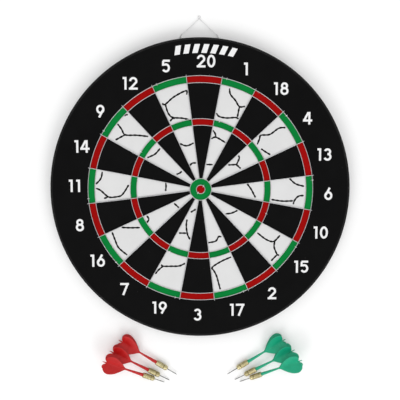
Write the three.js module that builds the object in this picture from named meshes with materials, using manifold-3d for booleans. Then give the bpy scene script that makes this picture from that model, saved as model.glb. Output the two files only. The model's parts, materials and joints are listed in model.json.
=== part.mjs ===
// Steel-needle dartboard of wound paper with a stapled wire spider, a wire hanger and six brass darts.
// Millimetres. The board lies on its back: +Z is up out of the printed face, +Y points to the hanger,
// and the origin is the centre of the flat back.
import * as THREE from 'three';
import { mergeVertices } from 'three/addons/utils/BufferGeometryUtils.js';
import Module from 'manifold-3d';

const wasm = await Module();
wasm.setup();

// Driving dimensions
const BOARD_RADIUS = 225;
const BACK_SHEET = 0.5;
const CORE_TOP = 19;
const PAPER_TOP = 19.5;
const BLACK_TOP = 19.75;
const FACE_TOP = 20;
const EDGE_BAND = 1.2;
const GAP = 0.3;

const PRINT_TURN = 1.9;                              // the print is turned clockwise by this many degrees
const WEDGE = 18;
const WEDGE_STEPS = 2;
const DOUBLE = { inner: 158.5, outer: 168.75 };
const TREBLE = { inner: 95.75, outer: 105.5 };
const OUTER_BULL = 16.3;
const INNER_BULL = 6.5;
const NUMBERS = [20, 1, 18, 4, 13, 6, 10, 15, 2, 17, 3, 19, 7, 16, 8, 11, 14, 9, 12, 5];

// The circle that the numbers stand on is a little off the board's centre.
const NUMBER_CIRCLE = { radius: 191, x: 1.8, y: -0.8 };
const FIGURE = { width: 12.2, height: 18.6, stroke: 3.2, advance: 15, narrow: 11, bridge: 6 };
const ORNAMENT = { radius: 208.5, span: 22.5, count: 7, height: 13, width: 8, slant: 4 };

const WIRE = 1;
const RADIAL_OVERHANG = 2.5;
const STAPLE = { wire: 0.75, reach: 2.1, tip: 12, fromRadial: 2.4 };

const HANGER = { x: -2, halfSpan: 28, pivotY: 227.4, pivotZ: 4.2, apex: 32, wire: 0.9, eye: 1.8, droop: 6 };
const LEG_TOP = { out: 1.26, down: 3.06 };           // where a leg runs into the nail eye, from the apex
const HANGER_STAPLE = { wire: 1.2, width: 8, depth: 15 };

const DART = { needle: 19, socket: 6, barrelEnd: 39, neck: 68, vaneEnd: 105, length: 107.5 };
const NEEDLE = { radius: 0.6, taper: 3 };
const BARREL = { radius: 4, nose: 3.5, groove: 7, grooveWidth: 0.8 };
const BORE = { needle: 0.9, shaft: 1.9, depth: 6 };
const SHAFT = { plug: 1.6, plugDepth: 5, root: 2.4, neck: 1.2, rear: 1, end: 0.5 };
const VANE = { radius: 15.8, thickness: 0.8, lift: 28 };
// Tip of each red dart in plan, the way its tail points, its tip's height and its upward pitch.
const DART_LAY = [
  { x: -55.5, y: -304.3, heading: 154.7, tip: 0.9, pitch: 16.5 },
  { x: -47.7, y: -301.4, heading: 149.9, tip: 0.8, pitch: 9.2 },
  { x: -35.9, y: -291.6, heading: 147.5, tip: 3, pitch: 3.2 },
];
const SET_MIRROR_X = 2.7;                            // the green set mirrors the red one about this X

const FINISH = {
  backPaper: finish(0x1d1c1a, 0.95, 0),
  windPaper: finish(0x8d7a5f, 0.95, 0),
  edgeTape: finish(0x0e0e0f, 0.7, 0),
  whitePaper: finish(0xe4e4e2, 0.6, 0),
  blackInk: finish(0x111113, 0.55, 0),
  redInk: finish(0xaa120e, 0.5, 0),
  greenInk: finish(0x008737, 0.5, 0),
  spiderWire: finish(0xc9c9cb, 0.3, 1),
  stapleWire: finish(0xd6d6d8, 0.3, 1),
  hangerWire: finish(0xb9b9bb, 0.35, 1),
  brass: finish(0xc2ab62, 0.3, 1),
  needle: finish(0x9a9a98, 0.3, 1),
  redPlastic: finish(0xc41f22, 0.4, 0),
  greenPlastic: finish(0x1faf85, 0.4, 0),
};

function finish(color, roughness, metalness) {
  return new THREE.MeshStandardMaterial({ color, roughness, metalness });
}

const dartboard = new THREE.Group();

function add(name, geometry, material, parent = dartboard) {
  const mesh = new THREE.Mesh(geometry, material);
  mesh.name = name;
  parent.add(mesh);
  return mesh;
}

// ---- Shapes shared by several parts ----

// A point of the print, at a radius and a clock angle in degrees from the middle of the 20.
function spot(radius, clock) {
  const turn = THREE.MathUtils.degToRad(clock + PRINT_TURN);
  return new THREE.Vector2(radius * Math.sin(turn), radius * Math.cos(turn));
}

// Points of the print along an arc, in equal steps.
function arc(radius, from, to, steps) {
  return Array.from({ length: steps + 1 }, (_, i) => spot(radius, from + ((to - from) * i) / steps));
}

// A slice of a ring on the print, between two radii and two clock angles.
function slice(inner, outer, from, to, steps) {
  return [...arc(outer, from, to, steps), ...arc(inner, to, from, steps)];
}

// A flat layer with an outline and holes, between two heights.
function layer(outline, holes, low, high) {
  const shape = new THREE.Shape(THREE.ShapeUtils.isClockWise(outline) ? outline.reverse() : outline);
  shape.holes = holes.map((hole) => new THREE.Path(hole));
  const geometry = new THREE.ExtrudeGeometry(shape, { depth: high - low, bevelEnabled: false });
  return geometry.translate(0, 0, low);
}

// The board's outline as a polygon.
function roundOutline(radius, steps = 72) {
  return Array.from({ length: steps }, (_, i) => {
    const turn = (2 * Math.PI * i) / steps;
    return new THREE.Vector2(radius * Math.cos(turn), radius * Math.sin(turn));
  });
}

// A profile of [radius, height] points turned about +Z.
function turned(profile, segments, start = 0) {
  const points = profile.map(([radius, height]) => new THREE.Vector2(radius, height));
  const geometry = new THREE.LatheGeometry(points, segments, THREE.MathUtils.degToRad(start));
  return geometry.rotateX(Math.PI / 2);
}

function solid(geometry) {
  const bare = new THREE.BufferGeometry();
  bare.setAttribute('position', geometry.getAttribute('position'));
  if (geometry.index) bare.setIndex(geometry.index);
  const merged = mergeVertices(bare, 1e-4);
  return new wasm.Manifold(new wasm.Mesh({
    numProp: 3,
    vertProperties: new Float32Array(merged.getAttribute('position').array),
    triVerts: new Uint32Array(merged.index.array),
  }));
}

function geometryOf(body) {
  const mesh = body.getMesh();
  const geometry = new THREE.BufferGeometry();
  geometry.setAttribute('position', new THREE.BufferAttribute(new Float32Array(mesh.vertProperties), 3));
  geometry.setIndex(new THREE.BufferAttribute(new Uint32Array(mesh.triVerts), 1));
  geometry.computeVertexNormals();
  return geometry;
}

function join(...geometries) {
  return geometryOf(geometries.map(solid).reduce((whole, piece) => whole.add(piece)));
}

function cut(geometry, cutters) {
  return geometryOf(cutters.map(solid).reduce((rest, cutter) => rest.subtract(cutter), solid(geometry)));
}

// ---- Staples: where they sit, the staple itself and the slots its legs go down ----

// Ten staples hold the outer doubles wire, each just clockwise of every other radial wire.
const DOUBLE_STAPLES = Array.from({ length: 10 }, (_, i) => (
  { radius: DOUBLE.outer, clock: WEDGE / 2 + STAPLE.fromRadial + 2 * WEDGE * i }));
const TREBLE_STAPLES = [13.5, 108.5, 204.5, 300.5].map((clock) => ({ radius: TREBLE.outer, clock }));
const BULL_STAPLES = [36, 216].map((clock) => ({ radius: INNER_BULL, clock }));
const SPIDER_STAPLES = [...DOUBLE_STAPLES, ...TREBLE_STAPLES, ...BULL_STAPLES];

// Corners of one leg's slot on the print, for the inner leg (side -1) or the outer leg (side 1).
function legSlot({ radius, clock }, side) {
  const middle = radius + side * (STAPLE.reach - STAPLE.wire / 2);
  const half = STAPLE.wire / 2 + GAP;
  const centre = spot(middle, clock);
  const out = spot(middle + 1, clock).sub(centre);
  const across = new THREE.Vector2(out.y, -out.x);
  return [[-1, -1], [1, -1], [1, 1], [-1, 1]].map(([u, v]) => centre.clone()
    .addScaledVector(out, u * half).addScaledVector(across, v * half));
}

function legCutters(low, high) {
  return SPIDER_STAPLES.flatMap((staple) => (
    [-1, 1].map((side) => layer(legSlot(staple, side), [], low, high))));
}

// A bent-wire staple: crown over the ring wire and two legs, drawn as a flat U and stood on edge.
function stapleGeometry() {
  const { wire, reach, tip } = STAPLE;
  const crown = FACE_TOP + WIRE + GAP + wire;
  const outline = [[-reach, tip], [-reach, crown], [reach, crown], [reach, tip], [reach - wire, tip],
    [reach - wire, crown - wire], [wire - reach, crown - wire], [wire - reach, tip]];
  const shape = new THREE.Shape(outline.map(([u, v]) => new THREE.Vector2(u, v)));
  const geometry = new THREE.ExtrudeGeometry(shape, { depth: wire, bevelEnabled: false });
  return geometry.translate(0, 0, -wire / 2).rotateX(Math.PI / 2);
}

function addSpiderStaples() {
  SPIDER_STAPLES.forEach((place, i) => {
    const name = `spider_staple_${String(i + 1).padStart(2, '0')}`;
    const staple = add(name, stapleGeometry(), FINISH.stapleWire);
    const centre = spot(place.radius, place.clock);
    staple.position.set(centre.x, centre.y, 0);
    staple.rotation.z = THREE.MathUtils.degToRad(90 - place.clock - PRINT_TURN);
  });
}

// The two staples in the rim that carry the hanger: crown along X, legs driven in along -Y.
function hangerStaple() {
  const { wire, width, depth } = HANGER_STAPLE;
  const crown = new THREE.BoxGeometry(width, wire, wire);
  const legs = [-1, 1].map((side) => new THREE.BoxGeometry(wire, depth, wire)
    .translate(side * (width - wire) / 2, (wire - depth) / 2, 0));
  return join(crown, ...legs);
}

function hangerStapleSlots() {
  const { wire, width, depth } = HANGER_STAPLE;
  const size = wire + 2 * GAP;
  return [-1, 1].flatMap((end) => [-1, 1].map((side) => new THREE.BoxGeometry(size, depth + GAP, size)
    .translate(HANGER.x + end * HANGER.halfSpan + side * (width - wire) / 2,
      HANGER.pivotY + (wire - depth - GAP) / 2, HANGER.pivotZ)));
}

function addHangerStaples() {
  for (const [name, end] of [['hanger_staple_left', -1], ['hanger_staple_right', 1]]) {
    const staple = add(name, hangerStaple(), FINISH.stapleWire);
    staple.position.set(HANGER.x + end * HANGER.halfSpan, HANGER.pivotY, HANGER.pivotZ);
  }
}

// ---- The board: back paper, wound core, edge band, white paper and the inks on it ----

function addBackSheet() {
  const radius = BOARD_RADIUS - EDGE_BAND - GAP;
  add('back_sheet', layer(roundOutline(radius), [], 0, BACK_SHEET), FINISH.backPaper);
}

function addPaperCore() {
  const disc = layer(roundOutline(BOARD_RADIUS - EDGE_BAND - GAP), [], BACK_SHEET, CORE_TOP);
  const slots = [...legCutters(STAPLE.tip - GAP, CORE_TOP + 1), ...hangerStapleSlots()];
  add('paper_core', cut(disc, slots), FINISH.windPaper);
}

function addEdgeBand() {
  const inner = BOARD_RADIUS - EDGE_BAND;
  const band = layer(roundOutline(BOARD_RADIUS), [roundOutline(inner)], 0, FACE_TOP);
  add('edge_band', cut(band, hangerStapleSlots()), FINISH.edgeTape);
}

function addCoverSheet() {
  const sheet = layer(roundOutline(BOARD_RADIUS - EDGE_BAND - GAP), [], CORE_TOP, PAPER_TOP);
  add('cover_sheet', cut(sheet, legCutters(CORE_TOP - 1, PAPER_TOP + 1)), FINISH.whitePaper);
}

// One stroke of a figure: a straight bar, or an elliptical bow turned from one angle to another.
function bar(x0, y0, x1, y1) {
  const along = new THREE.Vector2(x1 - x0, y1 - y0).normalize().multiplyScalar(FIGURE.stroke / 2);
  return [[x0 - along.y, y0 + along.x], [x1 - along.y, y1 + along.x],
    [x1 + along.y, y1 - along.x], [x0 + along.y, y0 - along.x]];
}

function bow(x, y, rx, ry, from, to) {
  const steps = Math.ceil(Math.abs(to - from) / 50);
  const side = (grow, i) => {
    const turn = THREE.MathUtils.degToRad(from + ((to - from) * i) / steps);
    return [x + (rx + grow) * Math.cos(turn), y + (ry + grow) * Math.sin(turn)];
  };
  const stations = Array.from({ length: steps + 1 }, (_, i) => i);
  const half = FIGURE.stroke / 2;
  return [...stations.map((i) => side(half, i)), ...stations.reverse().map((i) => side(-half, i))];
}

// The ten figures as strokes about their own centre. Closed loops leave a thin bridge of ink.
function figureStrokes(figure) {
  const { width, height, stroke, bridge } = FIGURE;
  const w = (width - stroke) / 2;
  const h = (height - stroke) / 2;
  const low = (height + stroke) / 4 - h;
  const bowl = h + low;
  const strokes = {
    0: () => [bow(0, 0, w, h, bridge - 90, 90 - bridge), bow(0, 0, w, h, 90 + bridge, 270 - bridge)],
    1: () => [bar(1.5, -height / 2, 1.5, height / 2), bar(-2.6, h, 1.5, h)],
    2: () => [bow(0, h - w, w, w, -35, 180), bar(w * 0.8, h - w * 1.5, -w, -h), bar(-w - 2, -h, w + 2, -h)],
    3: () => [bow(-0.4, h - 3.7, w - 0.6, 3.7, -90, 160), bow(-0.4, -h + 4.3, w, 4.3, -160, 90)],
    4: () => [bar(1, h + 1, -w - 1, -3.4), bar(-w - 2.6, -3.4, -0.6, -3.4),
      bar(2.4, -height / 2, 2.4, height / 2), bar(2.4, -3.4, w + 2.2, -3.4)],
    5: () => [bar(-w, h, w + 1, h), bar(-w + 0.4, h, -w, 0.4), bow(-0.3, -h + bowl, w, bowl, -150, 125)],
    6: () => [bow(0, -h + bowl, w, bowl, bridge - 90, 270 - bridge), bar(-w * 0.86, -1.6, 1.9, height / 2)],
    7: () => [bar(-w - 2, h, w + 2, h), bar(w, h, -2.2, -height / 2)],
    8: () => [bow(0, h - 3.6, w - 0.8, 3.6, bridge - 270, 90 - bridge),
      bow(0, -h + 4.3, w, 4.3, bridge - 90, 270 - bridge)],
    9: () => strokes[6]().map((outline) => outline.map(([x, y]) => [-x, -y])),
  };
  return strokes[figure]();
}

// A number's strokes as cutters, upright and centred on its place round the board.
function numberCutters(number, clock) {
  const figures = String(number).split('');
  const advances = figures.map((figure) => (figure === '1' ? FIGURE.narrow : FIGURE.advance));
  const centre = spot(NUMBER_CIRCLE.radius, clock).add(NUMBER_CIRCLE);
  let left = centre.x - advances.reduce((sum, advance) => sum + advance, 0) / 2;
  return figures.flatMap((figure, i) => {
    const x = left + advances[i] / 2;
    left += advances[i];
    return figureStrokes(figure).map((outline) => inkCutter(outline.map(([u, v]) => [u + x, v + centre.y])));
  });
}

function inkCutter(outline) {
  return layer(outline.map(([x, y]) => new THREE.Vector2(x, y)), [], PAPER_TOP - 1, BLACK_TOP + 1);
}

// A plain row of slanted lozenges on an arc above the 20.
function ornamentCutters() {
  const { radius, span, count, height, width, slant } = ORNAMENT;
  return Array.from({ length: count }, (_, i) => {
    const clock = -span / 2 + (span * i) / (count - 1);
    const centre = spot(radius, clock);
    const up = spot(radius + 1, clock).sub(centre);
    const right = new THREE.Vector2(up.y, -up.x);
    return inkCutter([[-width - slant, -height], [width - slant, -height], [width + slant, height],
      [slant - width, height]].map(([u, v]) => centre.clone()
      .addScaledVector(right, u / 2).addScaledVector(up, v / 2).toArray()));
  });
}

// The black ink leaves the white wedges, the numbers and the ornament open.
function addBlackPrint() {
  const windows = NUMBERS.flatMap((_, i) => {
    if (i % 2 === 0) return [];
    const from = (i - 0.5) * WEDGE;
    return [slice(TREBLE.outer, DOUBLE.inner, from, from + WEDGE, WEDGE_STEPS),
      slice(OUTER_BULL, TREBLE.inner, from, from + WEDGE, WEDGE_STEPS)];
  });
  const sheet = layer(roundOutline(BOARD_RADIUS - EDGE_BAND - GAP), windows, PAPER_TOP, BLACK_TOP);
  const figures = NUMBERS.flatMap((number, i) => numberCutters(number, i * WEDGE));
  const legs = legCutters(PAPER_TOP - 1, BLACK_TOP + 1);
  add('black_print', cut(sheet, [...figures, ...ornamentCutters(), ...legs]), FINISH.blackInk);
}

// A closed line round the print, at one radius in every second wedge and at another between them.
function toothedLine(firstWedge, inWedge, between) {
  const slack = THREE.MathUtils.radToDeg(GAP / 2 / TREBLE.inner);
  return NUMBERS.flatMap((_, i) => {
    const own = i % 2 === firstWedge;
    const trim = own ? slack : -slack;
    const from = (i - 0.5) * WEDGE;
    return arc(own ? inWedge : between, from + trim, from + WEDGE - trim, WEDGE_STEPS);
  });
}

function circleLine(radius, steps = NUMBERS.length * WEDGE_STEPS) {
  return arc(radius, -WEDGE / 2, 360 - WEDGE / 2, steps).slice(0, -1);
}

// Ten ink segments of one colour, joined by a strip that lies under a ring wire.
// The red strip is under the ring's outer wire and the green one under its inner wire.
function addRedRing(name, ring) {
  const hole = toothedLine(0, ring.inner + 2 * GAP, ring.outer - GAP);
  const ink = layer(circleLine(ring.outer + GAP), [hole], BLACK_TOP, FACE_TOP);
  add(name, cut(ink, legCutters(BLACK_TOP - 1, FACE_TOP + 1)), FINISH.redInk);
}

function addGreenRing(name, ring) {
  const outline = toothedLine(1, ring.outer - 2 * GAP, ring.inner + GAP);
  const ink = layer(outline, [circleLine(ring.inner - GAP)], BLACK_TOP, FACE_TOP);
  add(name, cut(ink, legCutters(BLACK_TOP - 1, FACE_TOP + 1)), FINISH.greenInk);
}

function addBull() {
  const edge = GAP / 2;
  const hole = circleLine(INNER_BULL + edge, 20);
  const ring = layer(circleLine(OUTER_BULL - edge, 20), [hole], BLACK_TOP, FACE_TOP);
  const disc = layer(circleLine(INNER_BULL - edge, 20), [], BLACK_TOP, FACE_TOP);
  const legs = legCutters(BLACK_TOP - 1, FACE_TOP + 1);
  add('outer_bull', cut(ring, legs), FINISH.greenInk);
  add('inner_bull', cut(disc, legs), FINISH.redInk);
}

// ---- The spider: ring wires on the face, and the radial wires welded across them ----

function wireRing(radius, segments, low, high) {
  const inner = radius - WIRE / 2;
  const outer = radius + WIRE / 2;
  return turned([[inner, low], [outer, low], [outer, high], [inner, high], [inner, low]],
    segments, WEDGE / 2 + PRINT_TURN);
}

function addRingWire(name, radius, segments = NUMBERS.length * WEDGE_STEPS) {
  add(name, wireRing(radius, segments, FACE_TOP, FACE_TOP + WIRE), FINISH.spiderWire);
}

function addRadialWeb() {
  const low = FACE_TOP + WIRE;
  const length = DOUBLE.outer + RADIAL_OVERHANG - OUTER_BULL;
  const radials = NUMBERS.map((_, i) => new THREE.BoxGeometry(WIRE, length, WIRE)
    .translate(0, OUTER_BULL + length / 2, low + WIRE / 2)
    .rotateZ(-THREE.MathUtils.degToRad((i + 0.5) * WEDGE + PRINT_TURN)));
  const hub = wireRing(OUTER_BULL, NUMBERS.length, FACE_TOP, low + WIRE / 2);
  add('radial_web', join(hub, ...radials), FINISH.spiderWire);
}

// ---- The hanger: one bent wire with an eye round each rim staple and a nail eye at its apex ----

function rodBetween(from, to, radius) {
  const along = new THREE.Vector3().subVectors(to, from);
  const upward = new THREE.Vector3(0, 1, 0);
  const turn = new THREE.Quaternion().setFromUnitVectors(upward, along.clone().normalize());
  const middle = new THREE.Vector3().addVectors(from, to).multiplyScalar(0.5);
  return new THREE.CylinderGeometry(radius, radius, along.length(), 5)
    .applyQuaternion(turn).translate(middle.x, middle.y, middle.z);
}

function addHanger() {
  const { halfSpan, apex, wire, eye } = HANGER;
  const ring = () => new THREE.TorusGeometry(eye, wire / 2, 5, 10);
  const ends = [-1, 1].map((side) => ring().rotateY(Math.PI / 2).translate(side * halfSpan, 0, 0));
  const nailEye = ring().translate(0, apex - eye, 0);
  const legs = [-1, 1].map((side) => rodBetween(new THREE.Vector3(side * halfSpan, eye, 0),
    new THREE.Vector3(side * LEG_TOP.out, apex - LEG_TOP.down, 0), wire / 2));
  const hanger = add('hanger_wire', join(nailEye, ...legs, ...ends), FINISH.hangerWire);
  hanger.position.set(HANGER.x, HANGER.pivotY, HANGER.pivotZ);
  hanger.rotation.x = -THREE.MathUtils.degToRad(HANGER.droop);
}

// ---- The darts: needle, brass barrel and a moulded shaft with four flights ----
// A dart is drawn along +X with its tip at 0.

function turnedAlong(profile, segments) {
  return turned(profile, segments).rotateY(Math.PI / 2);
}

function needleGeometry() {
  const end = DART.needle + DART.socket - GAP;
  return turnedAlong([[0, 0], [NEEDLE.radius, NEEDLE.taper], [NEEDLE.radius, end], [0, end]], 6);
}

// The nose is rounded, a ring groove runs round the front third, and both ends are bored.
function barrelGeometry() {
  const { radius, nose, groove, grooveWidth } = BARREL;
  const front = DART.needle;
  const rear = DART.barrelEnd;
  const floor = 0.86 * radius;
  return turnedAlong([[0, front + BORE.depth], [BORE.needle, front + BORE.depth], [BORE.needle, front],
    [0.6 * radius, front], [0.9 * radius, front + nose / 2], [radius, front + nose],
    [radius, front + groove - grooveWidth], [floor, front + groove - grooveWidth / 2],
    [floor, front + groove + grooveWidth / 2], [radius, front + groove + grooveWidth],
    [radius, rear - 1.5], [0.88 * radius, rear], [BORE.shaft, rear], [BORE.shaft, rear - BORE.depth],
    [0, rear - BORE.depth]], 10);
}

// Half of a flight's leaf: from the neck out to its widest point and back into the rear notch.
function leafGeometry() {
  const { radius, thickness } = VANE;
  const half = [[DART.neck, 0.6], [DART.neck + 9, 0.46 * radius], [DART.neck + 20, 0.88 * radius],
    [DART.neck + 27, radius], [DART.neck + 33, 0.9 * radius], [DART.vaneEnd, 0.55 * radius],
    [DART.vaneEnd - 1, 0.3 * radius], [DART.vaneEnd - 4.5, 0.6]];
  const outline = [...half, ...half.map(([x, y]) => [x, -y]).reverse()];
  const shape = new THREE.Shape(outline.map(([x, y]) => new THREE.Vector2(x, y)));
  return new THREE.ExtrudeGeometry(shape, { depth: thickness, bevelEnabled: false })
    .translate(0, 0, -thickness / 2);
}

function flightGeometry() {
  const { plug, plugDepth, root, neck, rear, end } = SHAFT;
  const shoulder = DART.barrelEnd + GAP;
  const shaft = turnedAlong([[0, shoulder - plugDepth], [plug, shoulder - plugDepth], [plug, shoulder],
    [root, shoulder], [neck, DART.neck], [rear, DART.vaneEnd], [end, DART.length], [0, DART.length]], 6);
  const lift = THREE.MathUtils.degToRad(VANE.lift);
  return join(shaft, leafGeometry().rotateX(lift), leafGeometry().rotateX(-lift));
}

function addDart(colour, number, lay, mirrored, material) {
  const dart = new THREE.Group();
  const heading = mirrored ? 180 - lay.heading : lay.heading;
  dart.position.set(mirrored ? 2 * SET_MIRROR_X - lay.x : lay.x, lay.y, lay.tip);
  dart.rotation.set(0, -THREE.MathUtils.degToRad(lay.pitch), THREE.MathUtils.degToRad(heading), 'ZYX');
  dartboard.add(dart);
  add(`${colour}_dart_${number}_needle`, needleGeometry(), FINISH.needle, dart);
  add(`${colour}_dart_${number}_barrel`, barrelGeometry(), FINISH.brass, dart);
  add(`${colour}_dart_${number}_flight`, flightGeometry(), material, dart);
}

addBackSheet();
addPaperCore();
addEdgeBand();
addCoverSheet();
addBlackPrint();
addRedRing('red_doubles', DOUBLE);
addGreenRing('green_doubles', DOUBLE);
addRedRing('red_trebles', TREBLE);
addGreenRing('green_trebles', TREBLE);
addBull();
addRingWire('double_outer_wire', DOUBLE.outer);
addRingWire('double_inner_wire', DOUBLE.inner);
addRingWire('treble_outer_wire', TREBLE.outer);
addRingWire('treble_inner_wire', TREBLE.inner);
addRingWire('bull_wire', INNER_BULL, 20);
addRadialWeb();
addSpiderStaples();
addHangerStaples();
addHanger();
DART_LAY.forEach((lay, i) => addDart('red', i + 1, lay, false, FINISH.redPlastic));
DART_LAY.forEach((lay, i) => addDart('green', i + 1, lay, true, FINISH.greenPlastic));

export default dartboard;
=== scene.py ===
"""A dartboard of wound paper with a stapled wire spider, a wire hanger and two sets of three brass darts.

The sections follow the way the set is put together: the paper roll and its sheets, the inks printed on the
face, the wires stapled over them, the hanger at the rim and the darts beside the board.
Shapes are worked out in millimetres in the frame's own axes and become metres where a piece is made.
"""
import json
import math

import bmesh
import bpy
import numpy as np
from mathutils import Matrix, Vector
from mathutils.geometry import delaunay_2d_cdt


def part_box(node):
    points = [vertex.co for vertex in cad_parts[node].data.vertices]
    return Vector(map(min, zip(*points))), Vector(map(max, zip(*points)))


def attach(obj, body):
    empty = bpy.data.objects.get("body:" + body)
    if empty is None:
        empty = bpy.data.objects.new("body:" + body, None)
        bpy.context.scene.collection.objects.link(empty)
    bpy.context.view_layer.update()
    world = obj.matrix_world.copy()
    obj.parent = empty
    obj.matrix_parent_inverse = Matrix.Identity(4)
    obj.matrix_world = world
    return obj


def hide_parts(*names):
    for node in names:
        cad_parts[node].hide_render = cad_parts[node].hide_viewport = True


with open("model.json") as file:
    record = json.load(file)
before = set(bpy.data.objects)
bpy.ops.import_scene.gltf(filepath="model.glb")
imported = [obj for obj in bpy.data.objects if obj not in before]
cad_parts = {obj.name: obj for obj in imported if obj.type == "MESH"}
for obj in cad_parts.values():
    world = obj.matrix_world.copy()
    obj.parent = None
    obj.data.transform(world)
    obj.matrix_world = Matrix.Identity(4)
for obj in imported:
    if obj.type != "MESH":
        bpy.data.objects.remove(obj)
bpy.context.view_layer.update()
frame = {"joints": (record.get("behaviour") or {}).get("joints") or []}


# ---- Wound core ----
# A strip of soft grey-brown paper, as wide as the board is thick, wound and glued into a solid disc.
# The roll is closed in by the sheets on both faces and by the tape round its edge, and it holds the legs
# of every staple.

def effect(name, inputs, outputs):
    """An empty node group with named input values and output values, and its tree, input and output nodes."""
    group = bpy.data.node_groups.new(name, "ShaderNodeTree")
    for label, value in inputs.items():
        socket = group.interface.new_socket(name=label, in_out="INPUT", socket_type="NodeSocketFloat")
        socket.default_value = value
    for label in outputs:
        group.interface.new_socket(name=label, in_out="OUTPUT", socket_type="NodeSocketFloat")
    return group, group.nodes.new("NodeGroupInput"), group.nodes.new("NodeGroupOutput")


def node(tree, kind, links=(), **values):
    """A node of the tree with its settings, its input values and its links from other nodes' sockets."""
    made = tree.nodes.new(kind)
    for label, value in values.items():
        setattr(made, label, value)
    for label, source in dict(links).items():
        if hasattr(source, "is_linked"):
            tree.links.new(source, made.inputs[label])
        else:
            made.inputs[label].default_value = source
    return made


def maths(tree, operation, *terms):
    """The result socket of a Math node on sockets or plain numbers."""
    return node(tree, "ShaderNodeMath", dict(enumerate(terms)), operation=operation).outputs[0]


def paper_fibre():
    """Matted paper: 'Height' is short crossed fibres, 'Cloud' the slow uneven take-up of pulp and ink."""
    group, given, result = effect("paper_fibre", {"Fibres": 900.0, "Clouds": 35.0}, ["Height", "Cloud"])
    place = node(group, "ShaderNodeTexCoord").outputs["Object"]
    heights = []
    for stretch in ((1.0, 0.22, 1.0), (0.22, 1.0, 1.0)):
        lay = node(group, "ShaderNodeMapping", {"Vector": place, "Scale": stretch})
        fibres = node(group, "ShaderNodeTexNoise",
                      {"Vector": lay.outputs[0], "Scale": given.outputs["Fibres"],
                       "Detail": 3.0, "Roughness": 0.6})
        heights.append(fibres.outputs[0])
    clouds = node(group, "ShaderNodeTexNoise", {"Vector": place, "Scale": given.outputs["Clouds"],
                                                "Detail": 5.0, "Roughness": 0.62})
    group.links.new(maths(group, "MAXIMUM", *heights), result.inputs["Height"])
    group.links.new(clouds.outputs[0], result.inputs["Cloud"])
    return group


PAPER_FIBRE = paper_fibre()


def finish(name, colour, roughness, **sockets):
    """A material with its Principled shader: constant values go on the shader's own sockets."""
    material = bpy.data.materials.new(name)
    material.use_nodes = True
    shader = material.node_tree.nodes["Principled BSDF"]
    sockets = {"Base Color": (*colour, 1.0), "Roughness": roughness, **sockets}
    for label, value in sockets.items():
        shader.inputs[label].default_value = value
    return material, material.node_tree, shader


def blended(tree, amount, low, high):
    """A colour between two, by a mask."""
    mix = node(tree, "ShaderNodeMix", data_type="RGBA")
    tree.links.new(amount, mix.inputs[0])
    for socket, colour in ((mix.inputs[6], low), (mix.inputs[7], high)):
        if hasattr(colour, "is_linked"):
            tree.links.new(colour, socket)
        else:
            socket.default_value = (*colour, 1.0)
    return mix.outputs[2]


def ranged(tree, value, low, high, start=0.0, stop=1.0):
    """A value between low and high taken on to start and stop, and held there outside them."""
    return node(tree, "ShaderNodeMapRange", {"Value": value, "From Min": low, "From Max": high,
                                             "To Min": start, "To Max": stop}).outputs[0]


def coloured(tree, shader, amount, low, high):
    """Feeds the shader's colour with a blend of two colours, by a mask."""
    tree.links.new(blended(tree, amount, low, high), shader.inputs["Base Color"])


def roughened(tree, shader, noise, start, stop):
    """Feeds the shader's roughness with the middle of a noise taken on to start and stop."""
    tree.links.new(ranged(tree, noise, 0.3, 0.7, start, stop), shader.inputs["Roughness"])


def bumped(tree, shader, height, distance, strength=1.0):
    """Feeds a height into the shader's normal; distance is the height of the relief in metres."""
    bump = node(tree, "ShaderNodeBump", {"Height": height, "Distance": distance, "Strength": strength})
    tree.links.new(bump.outputs[0], shader.inputs["Normal"])


def fibre_of(tree, fibres, clouds):
    made = node(tree, "ShaderNodeGroup", node_tree=PAPER_FIBRE)
    made.inputs["Fibres"].default_value = fibres
    made.inputs["Clouds"].default_value = clouds
    return made.outputs["Height"], made.outputs["Cloud"]


def wound_paper():
    """Grey-brown pulp with the fine dark rings of its turns, 0.9 mm apart, about the board's axis."""
    turn = 0.0009
    material, tree, shader = finish("wound_paper", (0.3, 0.24, 0.17), 0.95)
    height, cloud = fibre_of(tree, 1200.0, 60.0)
    place = node(tree, "ShaderNodeTexCoord").outputs["Object"]
    across = node(tree, "ShaderNodeVectorMath", {0: place, 1: (1.0, 1.0, 0.0)}, operation="MULTIPLY")
    radius = node(tree, "ShaderNodeVectorMath", {0: across.outputs[0]}, operation="LENGTH").outputs["Value"]
    layer = maths(tree, "FRACT", maths(tree, "DIVIDE", radius, turn))
    pulp = blended(tree, cloud, (0.25, 0.195, 0.13), (0.37, 0.31, 0.23))
    coloured(tree, shader, ranged(tree, layer, 0.75, 1.0), pulp, (0.1, 0.075, 0.05))
    bumped(tree, shader, maths(tree, "ADD", height, layer), 0.00015)
    return material


WOUND_PAPER = wound_paper()


def dress(name, material):
    """Gives a node that stays as it is its finish."""
    slots = bpy.data.objects[name].material_slots
    for each in slots:
        each.material = material
    if not slots:
        bpy.data.objects[name].data.materials.append(material)


dress("paper_core", WOUND_PAPER)


# ---- Back sheet ----
# A disc of black kraft paper, die cut and glued flat over the back of the roll.
# Its rim runs out under the lap of the edge tape.

MM = 0.001


def shell(grid, around=True, along=False):
    """A surface from a grid (stations, points, 3): four neighbours of the grid make each face.

    'around' closes every section on itself and 'along' joins the last station to the first. An open run of
    closed sections gets a cap at each end. The result is (points, faces).
    """
    stations, ring = grid.shape[:2]
    index = np.arange(stations * ring).reshape(stations, ring)
    rows = np.vstack([index, index[:1]]) if along else index
    rows = np.hstack([rows, rows[:, :1]]) if around else rows
    quads = np.stack([rows[:-1, :-1], rows[:-1, 1:], rows[1:, 1:], rows[1:, :-1]], axis=-1).reshape(-1, 4)
    faces = quads.tolist()
    if around and not along:
        faces += [index[0].tolist(), index[-1].tolist()]
    return grid.reshape(-1, 3), faces


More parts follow.
